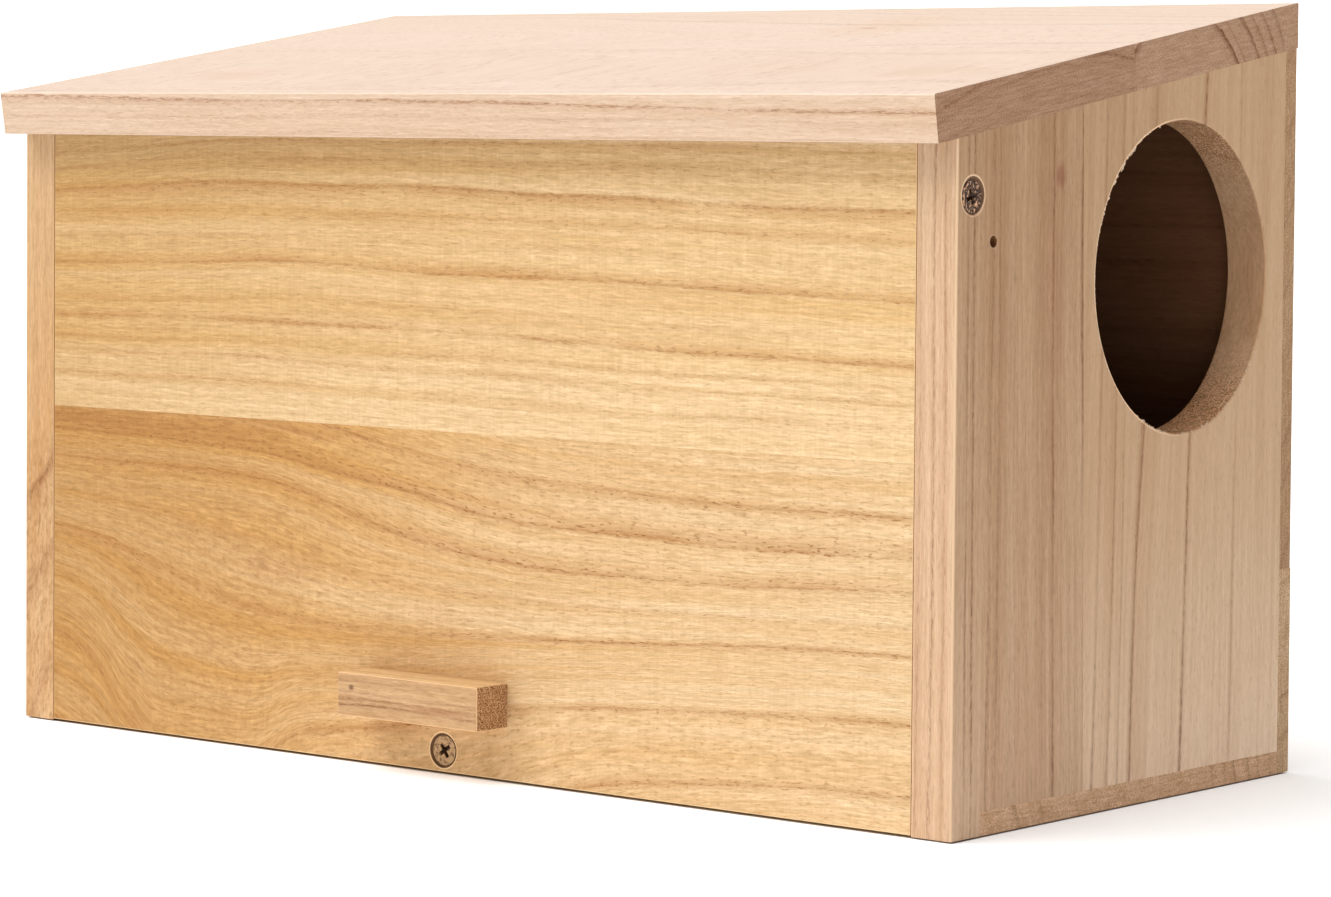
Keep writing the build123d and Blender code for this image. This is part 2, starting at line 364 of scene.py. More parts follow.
def grain_noise(g, board, place, size, detail=2.0, roughness=0.5, shift=0.0):
    """Noise with blobs of the given length and width. Place is (along, across, into)."""
    along, across, into = place
    length, width = size
    where = g.vector(
        g.plus(g.times(along, 1 / length), board.seed + shift),
        g.times(across, 1 / width),
        g.times(into, 1 / width),
    )
    return g.noise(where, 1.0, detail, roughness)


def growth_marks(g, grown, middles, lines):
    """The soft bands of the growth lines, and the thin cores at their middles."""
    band = 0.0
    chain = 0.0
    for line, middle in zip(lines, middles):
        away = g.minus(grown, middle)
        upper = g.math("MULTIPLY_ADD", away, -1 / line.above, 1.0, clamp=True)
        lower = g.math("MULTIPLY_ADD", away, 1 / line.below, 1.0, clamp=True)
        soft = g.power(g.times(upper, lower), 1.5)
        core = g.math("MULTIPLY_ADD", g.math("ABSOLUTE", away), -1 / CORE_WIDTH, 1.0, clamp=True)
        band = g.plus(g.times(soft, line.strength), band)
        chain = g.plus(g.times(core, line.core * line.strength), chain)
    return band, chain


def add_stains(g, colour, board, along, across, streaks):
    """The colour with the board's stains, ragged along the grain."""
    for stain in board.stains:
        off_along = g.times(g.minus(along, stain.along), 1 / stain.length)
        off_across = g.times(g.minus(across, stain.across), 1 / stain.width)
        distance = g.length(off_along, off_across)
        inside = g.smooth(g.plus(distance, g.math("MULTIPLY_ADD", streaks, 1.2, -0.6)), 1.0, 0.2)
        colour = g.mix(g.times(inside, stain.strength), colour, stain.colour)
    return colour


def add_bores(g, colour, board, along, across, outward, narrow, end, fibres):
    """The colour with each bore's painted shade on its wall and mouth, its pale rim of torn fibres with a
    painted highlight, and where the bores are.
    """
    bored = 0.0
    for bore in board.bores:
        off_along = g.minus(along, bore.along)
        off_across = g.minus(across, bore.across)
        distance = g.length(off_along, off_across)
        # pale rim: torn fibres with a painted highlight
        torn = g.plus(distance, g.math("MULTIPLY_ADD", fibres, 1.6 * bore.rim, -0.8 * bore.rim))
        edge = bore.radius + bore.rim
        rim = g.smooth(torn, edge + 0.2, edge - 0.2, 0.0, bore.pale)
        rim = g.times(rim, g.smooth(outward, 0.1, 0.45))
        if bore.one_sided:
            rim = g.times(rim, g.smooth(off_across, 10, -20))
        colour = g.mix(rim, colour, g.shade(board.pale[:3], TORN_RIM_HIGHLIGHT_TONE))
        # painted shade inside the radius and on the wall
        inside = g.smooth(distance, bore.radius + 0.15, bore.radius - 0.15, 0.0, bore.shadow)
        colour = g.mix(inside, colour, BORE_PAINTED_SHADE)
        near = g.smooth(distance, bore.radius + 0.7, bore.radius + 0.5)
        wall = g.times(near, narrow)
        shaded = g.times(wall, g.minus(1.0, end))
        if bore.shaded_end:
            shaded = g.times(shaded, g.smooth(off_along, bore.shaded_end, -bore.shaded_end))
        colour = g.mix(shaded, colour, g.tint(colour, bore.wall))
        colour = g.mix(g.times(wall, end), colour, g.shade(colour, BORE_END_TONE))
        # painted light and shade up the wall
        if bore.painted_wall_light:
            colour = g.mix(wall, colour, g.shade(colour, g.level_curve(along, bore.painted_wall_light, 0, 2)))
        bored = g.math("MAXIMUM", near, bored)
    return colour, bored


def end_grain(g, colour, board, along, across, into):
    """The colour on end grain, darker and speckled by the cut ends of fibres, and the speckle."""
    speckle = g.vector(g.times(along, SPECKLE), g.times(across, SPECKLE), g.times(into, SPECKLE))
    speckle = g.noise(speckle, 1.0, 2.0, 0.65)
    saw_marks = g.vector(g.times(across, SAW_LONG), g.times(into, SAW_SHORT), board.seed)
    saw_marks = g.noise(saw_marks, 1.0, 3.0, 0.65)
    light = g.remap(speckle, 0.38, 0.58, END_BRIGHT - board.end_speckle, END_BRIGHT)
    light = g.times(light, g.swing(saw_marks, 0.8))
    return g.warm_shade(g.tint(colour, board.end_tone), light), speckle


def wood(name, board):
    """Bare planed wood: growth lines, bands, fibres, pores and darker end grain, with painted light and
    shade along the faces, in the bores and on the inner faces, and painted highlights on rims and rounded
    edges.
    """
    material = bpy.data.materials.new(name)
    material.use_nodes = True
    g = Nodes(material.node_tree)
    shader = material.node_tree.nodes["Principled BSDF"]
    along, across, into = board_coordinates(g, board)

    # the growth lines wander slowly, and are ragged at close range
    flat = (along, across, into)
    drift = g.times(g.minus(grain_noise(g, board, flat, DRIFT_SIZE, 1.0), 0.5), 4 * board.wobble)
    ragged = grain_noise(g, board, flat, RAGGED_SIZE, 3.0, 0.65)
    ragged = g.times(g.minus(ragged, 0.5), 1.8 * board.wobble)
    if board.pith:
        leaning = g.length(g.minus(across, board.pith[0]), g.minus(into, board.pith[1]))
    else:
        lean = g.math("MULTIPLY_ADD", along, board.lean_drift, board.lean)
        leaning = g.plus(across, g.times(into, lean))
    bent = g.plus(leaning, g.plus(drift, ragged))
    grown, middles = growth_coordinate(g, along, bent, board.lines)
    place = (along, grown, into)

    lengthwise, outward = board_facing(g, board)
    end = g.smooth(lengthwise, END_LOW, END_HIGH)
    broad = g.smooth(outward, FACE_LOW, FACE_HIGH)
    narrow = g.minus(1.0, broad)

    # growth lines: a soft band with a chain of short dark dashes at its middle
    dashes = g.smooth(grain_noise(g, board, place, DASH_SIZE, 2.0, 0.6, 3.1), 0.42, 0.58)
    presence = grain_noise(g, board, place, PRESENCE_SIZE, 1.0, 0.5, 9.4)
    presence = g.smooth(presence, 0.32, 0.60, 0.45, 1.0)
    band, chain = growth_marks(g, grown, middles, board.lines)
    showing = g.times(presence, g.math("MULTIPLY_ADD", broad, board.face_tone - 1.0, 1.0))
    band = g.times(band, showing)
    chain = g.times(chain, showing)

    # marks between the growth lines
    broad_bands = grain_noise(g, board, place, BROAD_BAND_SIZE, 2.0, 0.5, 7.7)
    fine_bands = grain_noise(g, board, place, FINE_BAND_SIZE, 2.0, 0.5, 8.8)
    bands = g.plus(g.times(broad_bands, 0.6), g.times(fine_bands, 0.4))
    streaks = grain_noise(g, board, place, STREAK_SIZE, 3.0, 0.6, 1.3)
    fibres = grain_noise(g, board, place, FIBRE_SIZE, 3.0, 0.7, 5.9)
    pores = g.smooth(grain_noise(g, board, place, PORE_SIZE, 1.0, 0.5, 2.2), 0.60, 0.68)
    pores = g.times(pores, g.math("MULTIPLY_ADD", band, 0.8, 0.32, clamp=True))
    glints = g.smooth(grain_noise(g, board, place, GLINT_SIZE, 1.0, 0.5, 6.6), 0.60, 0.72)
    mottle = g.smooth(grain_noise(g, board, place, MOTTLE_SIZE, 2.0, 0.6, 4.4), 0.48, 0.66)
    mottle = g.times(mottle, g.level_curve(along, board.mottle_along, 0, 1))

    # tone: from the pale to the warm colour of the board, with stains
    warmth = g.level_curve(across, board.warmth_across, 0, 1)
    warmth = g.plus(warmth, g.level_curve(along, board.warmth_along, -1, 1))
    warmth = g.plus(warmth, g.swing(bands, board.banding, 0.0))
    warmth = g.math("MAXIMUM", g.math("MINIMUM", warmth, 1.0), 0.0)
    colour = g.mix(warmth, board.pale, board.warm)
    colour = add_stains(g, colour, board, along, across, streaks)

    # light and dark from the fine marks
    light = g.swing(streaks, board.streak)
    light = g.times(light, g.swing(fibres, board.fibre))
    light = g.times(light, g.math("MULTIPLY_ADD", glints, GLINT, 1.0))
    light = g.times(light, g.math("MULTIPLY_ADD", mottle, MOTTLE, 1.0))
    if board.chatter:
        where = g.vector(g.times(along, CHATTER_RATE), g.times(across, 1 / CHATTER_LENGTH), board.seed)
        light = g.times(light, g.swing(g.noise(where, 1.0, 1.0), board.chatter))
    if board.face_grain != 1.0:
        depth = g.math("MULTIPLY_ADD", broad, board.face_grain - 1.0, 1.0)
        light = g.math("MULTIPLY_ADD", g.minus(light, 1.0), depth, 1.0)
    # painted light and shade along the grain, on the broad faces
    lit = g.minus(g.level_curve(along, board.painted_light_along, 0, 2), 1.0)
    light = g.times(light, g.math("MULTIPLY_ADD", lit, broad, 1.0))
    colour = g.warm_shade(colour, light)
    colour = g.mix(g.math("MINIMUM", g.times(band, board.figure), FIGURE_MOST), colour, board.dark)
    core_tone = g.shade(board.dark[:3], CORE_SHADE)
    colour = g.mix(g.math("MINIMUM", g.times(chain, dashes), CORE_MOST), colour, core_tone)
    colour = g.mix(g.times(pores, board.pores), colour, core_tone)
    colour, bored = add_bores(g, colour, board, along, across, outward, narrow, end, fibres)

    # narrow faces and end grain
    end_colour, speckle = end_grain(g, colour, board, along, across, into)
    colour = g.mix(narrow, colour, g.tint(colour, board.edge_tone))
    colour = g.mix(end, colour, end_colour)

    # inner faces get painted shade, and rounded edges a painted highlight
    inner = g.smooth(into, board.thickness - 0.6, board.thickness - 0.2)
    # painted shade on the inner faces
    colour = g.mix(g.times(inner, broad), colour, g.tint(colour, board.inner_shade))
    edge_highlight_mask = g.times(g.smooth(outward, 0.2, 0.5), g.smooth(outward, 0.97, 0.86))
    edge_highlight_mask = g.times(edge_highlight_mask, g.minus(1.0, bored))
    colour = g.mix(g.times(edge_highlight_mask, board.edge_highlight), colour, g.shade(board.pale[:3], EDGE_HIGHLIGHT_TONE))
    g.feed(shader.inputs["Base Color"], colour)

    # surface
    rough = g.math("MULTIPLY_ADD", fibres, 0.16, WOOD_ROUGH)
    g.feed(shader.inputs["Roughness"], g.plus(rough, g.times(end, 0.12)))
    shader.inputs["Specular IOR Level"].default_value = WOOD_SHINE
    relief = g.plus(g.times(streaks, 0.5), g.times(fibres, 0.8))
    relief = g.minus(relief, g.times(pores, 1.2))
    relief = g.plus(relief, g.times(g.times(speckle, end), 1.6))
    g.bumped(shader, relief, WOOD_RELIEF)
    return material


def steel(name, tint, dark, rough, grime, face=None, axis=None):
    """Dull plated steel with tarnish in patches. Grime, from 0 to 1, is how much of it is dark.

    Face is a place on the head's face and axis the way out of it: what lies below the face gets painted
    shade.
    """
    material = bpy.data.materials.new(name)
    material.use_nodes = True
    g = Nodes(material.node_tree)
    shader = material.node_tree.nodes["Principled BSDF"]
    place = g.add("ShaderNodeTexCoord").outputs["Object"]
    patches = g.noise(place, 1100, 3.0, 0.75)
    fine = g.noise(place, 4000, 2.0, 0.6)
    edge = 0.66 - 0.32 * grime
    colour = g.mix(g.smooth(patches, edge - 0.06, edge + 0.06), tint, dark)
    if face is not None:
        away = g.add("ShaderNodeVectorMath", operation="SUBTRACT")
        g.feed(away.inputs[0], place)
        g.feed(away.inputs[1], face)
        height = g.add("ShaderNodeVectorMath", operation="DOT_PRODUCT")
        g.feed(height.inputs[0], away.outputs[0])
        g.feed(height.inputs[1], axis)
        # painted shade below the head's face, in its recess
        sunk = g.smooth(height.outputs["Value"], -0.12 * MM, -0.5 * MM)
        colour = g.mix(sunk, colour, RECESS_SHADE)
    g.feed(shader.inputs["Base Color"], colour)
    shader.inputs["Metallic"].default_value = STEEL_METALLIC
    g.feed(shader.inputs["Roughness"], g.math("MULTIPLY_ADD", patches, 0.25, rough))
    g.bumped(shader, fine, STEEL_RELIEF)
    return material


def ordinary_lines(seed, low, high, spacing, length, drift=2.5):
    """Growth lines for a board that has no growth lines of its own."""
    draw = random.Random(seed)
    lines = []
    across = low - draw.uniform(0, spacing)
    while across < high + spacing:
        points = []
        slope = draw.uniform(-drift, drift)
        wave = draw.uniform(0, 2 * math.pi)
        for step in range(6):
            share = step / 5
            points.append((share * length, across + slope * share + 0.8 * math.sin(wave + 4 * share)))
        lines.append(Line(points, draw.uniform(0.25, 0.75), draw.uniform(0.6, 1.5), draw.uniform(2, 5)))
        across += spacing * draw.uniform(0.5, 1.5)
    return lines


front_left = Vector((left_low.x, left_low.y, 0))
pivot_low, pivot_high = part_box("pivot_screw_right")
lock_low, lock_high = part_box("lock_screw")
mounts = {mount["name"]: mount for mount in frame["record"]["mounts"]}
HEAD_RADIUS = (pivot_high.z - pivot_low.z) / 2 / MM
SEAT_ROOM = 0.7             # how much wider than its head a screw's countersink is, in mm
MOUTH_RADIUS = HEAD_RADIUS + SEAT_ROOM


def on_side(place):
    """(along, across) of a place on the side panels' boards, in mm."""
    return place[2] / MM, (place[1] - right_low.y) / MM


pivot_along, pivot_across = on_side((pivot_low + pivot_high) / 2)
pilot_along, pilot_across = on_side(mounts["pilot_hole"]["pos_m"])
hole_along, hole_across = on_side(mounts["entrance"]["pos_m"])
HOLE_RADIUS = mounts["entrance"]["dims"]["r_mm"]
lock_along = ((lock_low.x + lock_high.x) / 2 - left_low.x) / MM
lock_across = (lock_low.z + lock_high.z) / 2 / MM
# the entrance hole's wall gets painted shade
entrance_bore = Bore(
    hole_along, hole_across, HOLE_RADIUS, 0.55, shadow=0.0, pale=0.9, wall=(0.73, 0.62, 0.53, 1.0),
    # the pale rim with its painted highlight on one side only
    one_sided=True,
    # painted light: lighter at the foot of the hole, darker at its top
    painted_wall_light=[(0, 1.45), (97, 1.45), (117, 1.38), (134, 1.22), (157, 0.84), (166, 0.71),
                (175, 0.64), (210, 0.64)],
)

DOOR_UPPER = Board(
    axes="xzy", anchor=front_left, seed=11.0, lean=0.5, chatter=0.16, streak=0.38, fibre=0.78,
    lines=[
        Line([(0, 101.5), (100, 101), (200, 99.5), (330, 100)], 0.4, 2, 3),
        Line([(0, 107.5), (60, 108), (150, 107), (330, 105)], 0.5, 1.5, 2),
        Line([(0, 111), (60, 112), (150, 111), (330, 109)], 0.4, 1.5, 1.5),
        Line([(0, 116.5), (60, 118), (110, 117.5), (170, 117), (270, 115), (330, 114)], 0.9, 3, 1.5),
        Line([(0, 122), (100, 124), (200, 123), (330, 120)], 0.3, 2, 3, 0.3),
        Line([(0, 132.5), (60, 133.5), (110, 134.5), (160, 133), (220, 132.5), (330, 129.5)], 1.0,
              3.5, 1.2),
        Line([(0, 140), (100, 142), (200, 140.5), (330, 137)], 0.3, 2, 3, 0.3),
        Line([(0, 146), (50, 148), (110, 148.5), (200, 147), (250, 146), (330, 144)], 0.5, 3, 3, 0.3),
        Line([(0, 152.5), (40, 154.5), (80, 156), (120, 156), (220, 154), (290, 152), (330, 151.5)],
              1.0, 1.2, 5),
        Line([(0, 158), (40, 161), (110, 163), (200, 163), (330, 160)], 0.5, 1, 3, 0.5),
        Line([(0, 163), (40, 165), (110, 168), (200, 168), (330, 166)], 0.5, 1, 3, 0.5),
    ],
    pale=srgb(233, 200, 153), warm=srgb(216, 172, 108), dark=srgb(184, 128, 68), figure=0.62,
    warmth_across=[(88, 0.0), (104, 0.1), (116, 0.5), (150, 0.5), (163, 0.5), (170, 0.3)],
    pores=0.65, warmth_along=[(0, 0.25), (160, 0.0), (330, -0.1)],
    # darker towards the left end: partly the board's own tone, partly painted shade
    painted_light_along=[(0, 0.83), (60, 0.865), (150, 0.915), (330, 0.98)],
)

DOOR_LOWER = Board(
    axes="xzy", anchor=front_left, seed=23.0, lean=-0.5, chatter=0.12, streak=0.35, fibre=0.9,
    pores=1.0,
    lines=[
        Line([(0, 4), (60, -14), (150, -16), (215, 1.5), (240, 5), (270, 8), (300, 9), (330, 9)], 0.7,
              2, 2),
        Line([(0, 28), (20, 24), (45, 2), (60, -6), (90, -5), (112, 6), (150, 11.5), (190, 19.5),
              (260, 25), (330, 27)],
             0.75, 3, 1.5),
        Line([(0, 58), (30, 55), (50, 49.5), (70, 44), (90, 40), (110, 37.5), (140, 36.5),
              (200, 38.5), (280, 43), (330, 44.5)],
             0.9, 1.5, 3),
        Line([(0, 66), (40, 64), (90, 58), (130, 51), (170, 48.5), (215, 48), (290, 50), (330, 51)],
              0.3, 2, 2, 0.4),
        Line([(0, 77), (40, 76.5), (90, 75), (110, 72), (130, 67), (150, 62.5), (170, 59.5),
              (215, 56.5), (290, 58), (330, 60)],
             0.9, 4, 2),
        Line([(0, 84.5), (40, 84.5), (80, 83), (100, 81.5), (120, 78.5), (150, 74.5), (180, 70),
              (210, 68), (290, 67), (330, 68)],
             1.0, 5, 1.2),
        Line([(0, 95), (100, 94), (135, 88), (160, 84), (190, 80.5), (220, 78.5), (250, 78),
              (330, 78)], 0.7, 2, 3),
    ],
    pale=srgb(231, 200, 157), warm=srgb(211, 162, 96), dark=srgb(178, 120, 60), figure=0.58,
    warmth_across=[(0, 0.35), (50, 0.35), (91, 0.5)],
    warmth_along=[(0, 0.5), (110, 0.4), (200, 0.0), (330, -0.2)],
    # darker towards the left end: partly the board's own tone, partly painted shade
    painted_light_along=[(0, 0.775), (60, 0.815), (130, 0.895), (330, 0.975)],
    mottle_along=[(0, 0.45), (90, 0.45), (170, 0.2), (330, 0.2)],
    stains=[Stain(60, 88, 100, 5, 0.5, srgb(186, 128, 70)),
            Stain(105, 50, 22, 6, 0.22, srgb(178, 120, 70))],
    # lock countersink: painted shadow of the screw head along its left side, and a pale rim
    bores=[Bore(lock_along - 0.15, lock_across, MOUTH_RADIUS, 0.3, pale=0.85, shaded_end=1.5)],
)

RIGHT_FRONT = Board(
    axes="zyx", anchor=Vector((right_high.x, right_low.y, 0)), into_sign=-1, seed=37.0, lean=-0.80,
    lean_drift=-0.0018, streak=0.42, fibre=0.5, wobble=0.35, edge_highlight=1.0, end_speckle=0.75,
    lines=[
        Line([(0, -8.4), (172, -11.5), (210, -12)], 0.4, 0.8, 0.8, 0.6),
        Line([(0, -5.4), (60, -5.6), (120, -6.6), (172, -7.1), (210, -7.4)], 0.65, 0.9, 0.9, 0.8),
        Line([(0, -2.2), (90, -2.6), (172, -3.9), (210, -4.1)], 0.45, 0.9, 0.9, 0.6),
        Line([(0, 5.2), (90, 5), (210, 4.4)], 0.8, 0.9, 0.9, 0.5),
        Line([(0, 8.4), (100, 7.5), (210, 7)], 0.8, 0.9, 0.9, 0.8),
        Line([(0, 14), (100, 15), (150, 15.5), (210, 15)], 0.35, 1.6, 1.6, 1.2),
        Line([(0, 18), (100, 18.5), (150, 18), (210, 17)], 0.35, 1.6, 1.6, 1.2),
        Line([(0, 27), (100, 25), (210, 24)], 0.2, 4, 4, 0.4),
        Line([(0, 39), (100, 37), (210, 36.5)], 0.3, 2.5, 2.5, 0.3),
        Line([(0, 43.5), (60, 42.5), (120, 41.5), (210, 40.8)], 0.8, 1.0, 2.0, 0.8),
        Line([(0, 58), (60, 56.5), (120, 54.5), (210, 53.5)], 1.1, 2.2, 1.6, 0.6),
    ],
    pale=srgb(218, 184, 149), warm=srgb(200, 157, 121), dark=srgb(144, 84, 42), figure=0.45,
    warmth_across=[(0, 0.35), (12, 0.4), (18, 0.75), (28, 0.45), (36, 0.7), (44, 0.7), (50, 0.3),
                   (60, 0.4)],
    stains=[Stain(161, 44, 4.2, 3.4, 0.7, srgb(170, 110, 82)),
            Stain(120, 42, 60, 4, 0.15, srgb(190, 130, 100))],
    # painted light: lighter near the ground, darker higher up
    painted_light_along=[(0, 1.16), (14, 1.10), (43, 1.01), (67, 0.95), (87, 0.92), (119, 0.865),
                 (156, 0.815), (210, 0.81)],
    # pivot countersink: painted shade inside its mouth, a nearly plain wall and a pale rim of torn fibres
    # with a painted highlight
    bores=[Bore(pivot_along + 0.3, pivot_across, MOUTH_RADIUS, 0.45, pale=0.95,
                wall=(0.95, 0.88, 0.8, 1.0)),
           # pilot hole: painted shade inside
           Bore(pilot_along, pilot_across, 1.5, 0.2, pale=0.4, wall=(0.8, 0.58, 0.33, 1.0)),
           entrance_bore],
)

RIGHT_REAR = Board(
    axes="zyx", anchor=Vector((right_high.x, right_low.y, 0)), into_sign=-1, seed=41.0, lean=0.3,
    streak=0.36, fibre=0.5, wobble=0.4, end_speckle=0.75, edge_highlight=0.9, face_grain=0.65,
    lines=[
        Line([(0, 60.5), (90, 63), (210, 65)], 0.7, 1.2, 1.2, 0.5),
        Line([(0, 67), (90, 70), (210, 73)], 0.6, 1.2, 1.2, 0.4),
        Line([(0, 72), (90, 74), (210, 77)], 0.6, 1.0, 1.0, 0.4),
        Line([(0, 77.5), (60, 80), (95, 83), (210, 89)], 1.0, 1.4, 2.6, 0.6),
        Line([(0, 101.5), (90, 104.5), (210, 113)], 0.9, 1.4, 1.6, 1.0),
        Line([(0, 125), (90, 127), (210, 128)], 0.35, 1.5, 1.5, 0.5),
        Line([(0, 146), (210, 147)], 0.1, 2, 2, 0.3),
    ],
    pale=srgb(232, 199, 164), warm=srgb(214, 174, 137), dark=srgb(156, 98, 54), figure=0.6,
    warmth_across=[(55, 0.5), (90, 0.45), (110, 0.25), (156, 0.15)],
    # painted light: lighter near the ground, darker higher up
    painted_light_along=[(0, 1.24), (13, 1.18), (32, 1.07), (66, 0.925), (90, 0.86), (113, 0.835),
                 (151, 0.785), (210, 0.77)],
    bores=[entrance_bore],
)

LEFT_FRONT = Board(
    axes="zyx", anchor=front_left, seed=5.0, lean=0.5,
    lines=[
        Line([(0, -30), (90, -14), (150, -8), (210, -6)], 0.4, 2, 2),
        Line([(0, -16), (40, -6), (62, 0), (77, 6), (110, 9), (210, 11)], 1.2, 2.5, 1.5, 0.9),
        Line([(0, -6), (25, -2), (40, 2), (52, 6), (80, 13), (210, 20)], 0.6, 2, 2),
        Line([(0, 1), (12, 4), (30, 9), (60, 20), (210, 30)], 0.5, 2, 2),
        Line([(0, 12), (30, 22), (60, 33), (210, 44)], 0.5, 2, 3),
    ],
    pale=srgb(214, 176, 132), warm=srgb(200, 152, 100), dark=srgb(160, 106, 62), figure=0.55,
    warmth_along=[(0, 0.0), (60, 0.3), (110, 0.2), (170, -0.35)],
    mottle_along=[(0, 0.9), (60, 0.9), (90, 0.3), (210, 0.15)],
)

ROOF_TOP_CORNER = 11.9      # from the roof's lowest point up to its top face's front edge, in mm
ROOF_FRONT = Board(
    axes="xyz", anchor=Vector((left_low.x, roof_low.y, roof_low.z + ROOF_TOP_CORNER * MM)),
    into_sign=-1, seed=12.0, pitch=roof_pitch, pith=(45, 150), wobble=0.8, face_tone=0.15,
    face_grain=0.45, streak=0.28, fibre=0.42, banding=1.2, edge_highlight=0.4,
    lines=[
        Line([(0, 140), (330, 141)], 0.3, 1.5, 1.5),
        Line([(0, 145.5), (150, 146), (330, 144)], 0.25, 1.5, 1.5),
        Line([(0, 150.6), (200, 150.2), (330, 149.4)], 0.25, 1, 2),
        Line([(0, 155.8), (140, 154.5), (200, 154), (240, 152.8), (315, 151.8), (330, 151.6)], 0.8, 1,
              2, 0.9),
        Line([(0, 158.5), (330, 158)], 0.2, 1, 2),
    ],
    pale=srgb(229, 207, 191), warm=srgb(222, 193, 168), dark=srgb(180, 126, 88), end_speckle=0.3,
    end_tone=(0.60, 0.445, 0.33, 1.0), edge_tone=(0.93, 0.87, 0.77, 1.0),
    stains=[Stain(60, 36, 26, 16, 0.25, srgb(216, 176, 150)),
            Stain(306, 38, 26, 14, 0.3, srgb(212, 176, 146))],
)

ROOF_REAR = Board(
    axes="xyz", anchor=ROOF_FRONT.anchor, into_sign=-1, seed=13.0, pitch=roof_pitch, pith=(108, 26),
    wobble=0.8, face_tone=0.15, face_grain=0.45, streak=0.22, fibre=0.28, banding=1.2,
    lines=[
        Line([(0, 60), (75, 55), (150, 42), (230, 34), (330, 31.3)], 1.2, 1, 2.5, 0.9),
        Line([(0, 68), (330, 34.5)], 0.4, 1, 2),
        Line([(0, 80), (75, 78), (200, 55), (330, 40.5)], 1.0, 1, 3, 0.8),
        Line([(0, 90), (330, 44.5)], 0.5, 1, 2),
        Line([(0, 100), (330, 48.5)], 0.9, 1, 3),
        Line([(0, 108), (330, 53)], 0.5, 1, 3),
    ],
    pale=srgb(229, 207, 191), warm=srgb(222, 195, 170), dark=srgb(160, 106, 70), end_speckle=0.3,
    figure=0.8, end_tone=(0.65, 0.50, 0.38, 1.0), edge_tone=(0.93, 0.87, 0.77, 1.0),
    stains=[Stain(222, 128, 26, 26, 0.3, srgb(222, 184, 150)),
            Stain(219, 124, 3.5, 2.0, 0.6, srgb(190, 140, 106)),
            Stain(152, 144, 18, 4, 0.3, srgb(206, 176, 150))],
)

HANDLE = Board(
    axes="xzy", anchor=Vector((handle_low.x, handle_low.y, handle_low.z)), seed=14.0, lean=0.8,
    thickness=40, streak=0.55, fibre=0.8,
    lines=[
        Line([(0, -6), (50, -7)], 0.4, 1, 1),
        Line([(0, 2.8), (20, 3.4), (50, 2.4)], 0.8, 1.2, 0.8, 0.8),
        Line([(0, 4.4), (20, 4.8), (50, 4.2)], 0.6, 1.0, 0.8, 0.8),
        Line([(0, 6.6), (25, 6.0), (50, 6.0)], 0.4, 1.0, 1.0, 0.6),
        Line([(0, 9.2), (50, 9.8)], 0.2, 1.5, 1.5),
        Line([(0, 15), (50, 16)], 0.4, 1, 2),
    ],
    pale=srgb(206, 168, 124), warm=srgb(186, 140, 95), dark=srgb(140, 86, 50), figure=0.6,
    stains=[Stain(5.0, 7.6, 1.4, 1.2, 0.8, srgb(104, 68, 42)),
            Stain(36, 4.0, 14, 1.6, 0.4, srgb(168, 112, 76))],
    end_tone=(1.06, 1.06, 1.12, 1.0), edge_tone=(1.1, 1.17, 1.14, 1.0), end_speckle=0.85, edge_highlight=1.0,
)


def plain_board(axes, anchor, seed, low, high, spacing, length, **settings):
    """A board with ordinary growth lines."""
    return Board(
        axes=axes, anchor=anchor, seed=seed,
        lines=ordinary_lines(int(seed * 10), low, high, spacing, length), **settings
    )


back_left = Vector((left_low.x, back_high.y, 0))
pinkish = dict(pale=srgb(224, 190, 154), warm=srgb(208, 166, 127), dark=srgb(158, 108, 70))
floor_end = (1.07, 1.01, 1.0, 1.0)
back_low_end = (0.93, 0.92, 0.88, 1.0)
back_high_end = (0.73, 0.67, 0.60, 1.0)
FLOOR_REAR = Board(
    axes="xyz", anchor=front_left, seed=8.0, lean=0.15, end_tone=floor_end, end_speckle=0.35,
    lines=[
        Line([(0, 96), (330, 97)], 0.3, 1, 2),
        Line([(0, 118), (330, 118)], 0.6, 0.8, 1.6),
        Line([(0, 124), (330, 124)], 0.6, 0.8, 1.6),
        Line([(0, 129), (330, 129)], 1.0, 0.8, 2.0),
        Line([(0, 136), (330, 136)], 0.7, 0.8, 1.6),
        Line([(0, 141), (330, 141)], 0.6, 0.8, 1.6),
        Line([(0, 147), (330, 147)], 0.7, 0.8, 1.6),
    ],
    **pinkish,
)
BOARDS = {
    "door_upper_board": DOOR_UPPER,
    "door_lower_board": DOOR_LOWER,
    "right_side_front_board": RIGHT_FRONT,
    "right_side_rear_board": RIGHT_REAR,
    "roof_front_board": ROOF_FRONT,
    "roof_rear_board": ROOF_REAR,
    "door_handle": HANDLE,
    "left_side_front_board": LEFT_FRONT,
    "left_side_rear_board": plain_board(
        "zyx", front_left, 6.0, 50, 156, 12, 210,
        pale=srgb(219, 183, 143), warm=srgb(204, 159, 113), dark=srgb(158, 106, 64),
    ),
    "floor_front_board": plain_board(
        "xyz", front_left, 7.0, 0, 62, 14, 330, end_tone=floor_end, end_speckle=0.3, **pinkish
    ),
    "floor_rear_board": FLOOR_REAR,
    "back_lower_board": plain_board(
        "xzy", back_left, 9.0, 0, 60, 12, 330, into_sign=-1, end_tone=back_low_end, **pinkish
    ),
    "back_upper_board": plain_board(
        "xzy", back_left, 10.0, 50, 200, 14, 330, into_sign=-1, lean=1.5,
        end_tone=back_high_end, **pinkish
    ),
}


def finish_node(name, material):
    """Puts the material on every slot of a CAD node."""
    node = nodes[name]
    if not node.material_slots:
        node.data.materials.append(material)
    for slot in node.material_slots:
        slot.material = material


